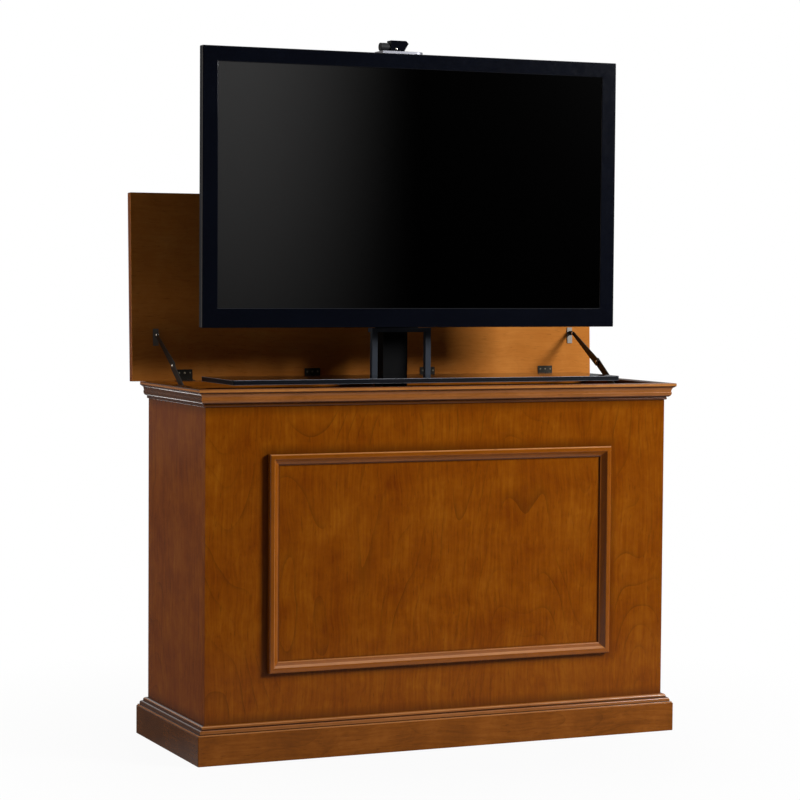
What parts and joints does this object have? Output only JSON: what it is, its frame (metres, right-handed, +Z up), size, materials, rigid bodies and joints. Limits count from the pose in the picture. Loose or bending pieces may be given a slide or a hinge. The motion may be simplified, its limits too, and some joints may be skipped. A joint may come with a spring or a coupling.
{
  "type": "tv lift cabinet",
  "caption": "Low wooden cabinet with crown, plinth and framed front panel; a screen on a telescoping lift rises through the top under a hinged lid.",
  "frame": {"origin": "middle of the floor panel's underside, where the cabinet stands on the floor, under the middle of the body", "axes": "+X to the right seen from the front, +Y towards the back, +Z up; the framed front panel faces -Y"},
  "size_m": [1.336, 0.5366, 1.8015],
  "materials": {
    "veneer": "satin honey-brown stained veneer and moulding",
    "hinge_metal": "dark bronze satin",
    "black_metal": "black powder coat",
    "black_plastic": "fine texture",
    "gloss_bezel": "piano gloss",
    "screen": "half-gloss front film",
    "shelf_black": "black lacquered board, satin",
    "bare_aluminium": "brushed",
    "grey_rubber": "matt"
  },
  "bodies": {
    "cabinet": {"front_panel": "veneer", "left_side_panel": "veneer", "right_side_panel": "veneer", "back_panel": "veneer", "floor_panel": "veneer", "hinge_rail": "veneer", "plinth_front": "veneer", "plinth_left": "veneer", "plinth_right": "veneer", "plinth_back": "veneer", "base_cap_front": "veneer", "base_cap_left": "veneer", "base_cap_right": "veneer", "base_cap_back": "veneer", "crown_front": "veneer", "crown_left": "veneer", "crown_right": "veneer", "frame_moulding_top": "veneer", "frame_moulding_bottom": "veneer", "frame_moulding_left": "veneer", "frame_moulding_right": "veneer", "hinge_1_rail_leaf": "hinge_metal", "hinge_2_rail_leaf": "hinge_metal", "hinge_3_rail_leaf": "hinge_metal", "hinge_4_rail_leaf": "hinge_metal", "stay_left_foot": "black_metal", "stay_right_foot": "black_metal", "lift_base_plate": "black_metal", "outer_column": "black_metal", "column_strap": "black_metal", "lift_motor": "black_metal", "control_box": "black_plastic"},
    "carriage": {"inner_column": "black_metal", "mount_plate": "black_metal", "cross_bar_lower": "black_metal", "cross_bar_upper": "black_metal", "tv_rail_left": "black_metal", "tv_rail_right": "black_metal", "tv_front_frame": "gloss_bezel", "tv_screen": "screen", "tv_rear_cover": "black_plastic", "lift_shelf": "shelf_black", "shelf_bracket": "black_metal", "pusher_plate": "bare_aluminium", "pusher_housing": "black_plastic"},
    "middle_stage": {"middle_column": "black_metal"},
    "roller": {"pusher_roller": "grey_rubber"},
    "lid": {"lid_panel": "veneer", "hinge_1_lid_leaf": "hinge_metal", "hinge_2_lid_leaf": "hinge_metal", "hinge_3_lid_leaf": "hinge_metal", "hinge_4_lid_leaf": "hinge_metal", "stay_left_lid_bracket": "black_metal", "stay_right_lid_bracket": "black_metal"},
    "stay_left_lower": {"stay_left_lower_arm": "black_metal"},
    "stay_left_upper": {"stay_left_upper_arm": "black_metal"},
    "stay_right_lower": {"stay_right_lower_arm": "black_metal"},
    "stay_right_upper": {"stay_right_upper_arm": "black_metal"}
  },
  "joints": [
    {"name": "lift_travel", "type": "slide", "parent": "cabinet", "child": "carriage", "axis": [0, 0, 1], "range_m": [-0.8895, 0]},
    {"name": "middle_travel", "type": "slide", "parent": "cabinet", "child": "middle_stage", "axis": [0, 0, 1], "range_m": [-0.44475, 0]},
    {"name": "roller_spin", "type": "hinge", "parent": "carriage", "child": "roller", "pos_m": [-0.0252, 0.117, 1.7843], "axis": [1, 0, 0], "continuous": true},
    {"name": "lid_hinge", "type": "hinge", "parent": "cabinet", "child": "lid", "pos_m": [0, 0.2505, 0.9143], "axis": [1, 0, 0], "range_deg": [0, 14]},
    {"name": "stay_left_foot_pivot", "type": "hinge", "parent": "cabinet", "child": "stay_left_lower", "pos_m": [-0.6093, -0.005, 0.885], "axis": [1, 0, 0], "range_deg": [0, 27]},
    {"name": "stay_left_lid_pivot", "type": "hinge", "parent": "lid", "child": "stay_left_upper", "pos_m": [-0.6063, 0.24, 1.031], "axis": [1, 0, 0], "range_deg": [-32.5, 0]},
    {"name": "stay_right_foot_pivot", "type": "hinge", "parent": "cabinet", "child": "stay_right_lower", "pos_m": [0.6093, -0.005, 0.885], "axis": [1, 0, 0], "range_deg": [0, 27]},
    {"name": "stay_right_lid_pivot", "type": "hinge", "parent": "lid", "child": "stay_right_upper", "pos_m": [0.6063, 0.24, 1.031], "axis": [1, 0, 0], "range_deg": [-32.5, 0]}
  ],
  "couplings": [
    {"joint": "middle_travel", "follows": "lift_travel", "ratio": 0.5},
    {"joint": "stay_left_foot_pivot", "follows": "lid_hinge", "ratio": 1.922},
    {"joint": "stay_left_lid_pivot", "follows": "lid_hinge", "ratio": -2.316},
    {"joint": "stay_right_foot_pivot", "follows": "lid_hinge", "ratio": 1.922},
    {"joint": "stay_right_lid_pivot", "follows": "lid_hinge", "ratio": -2.316}
  ]
}
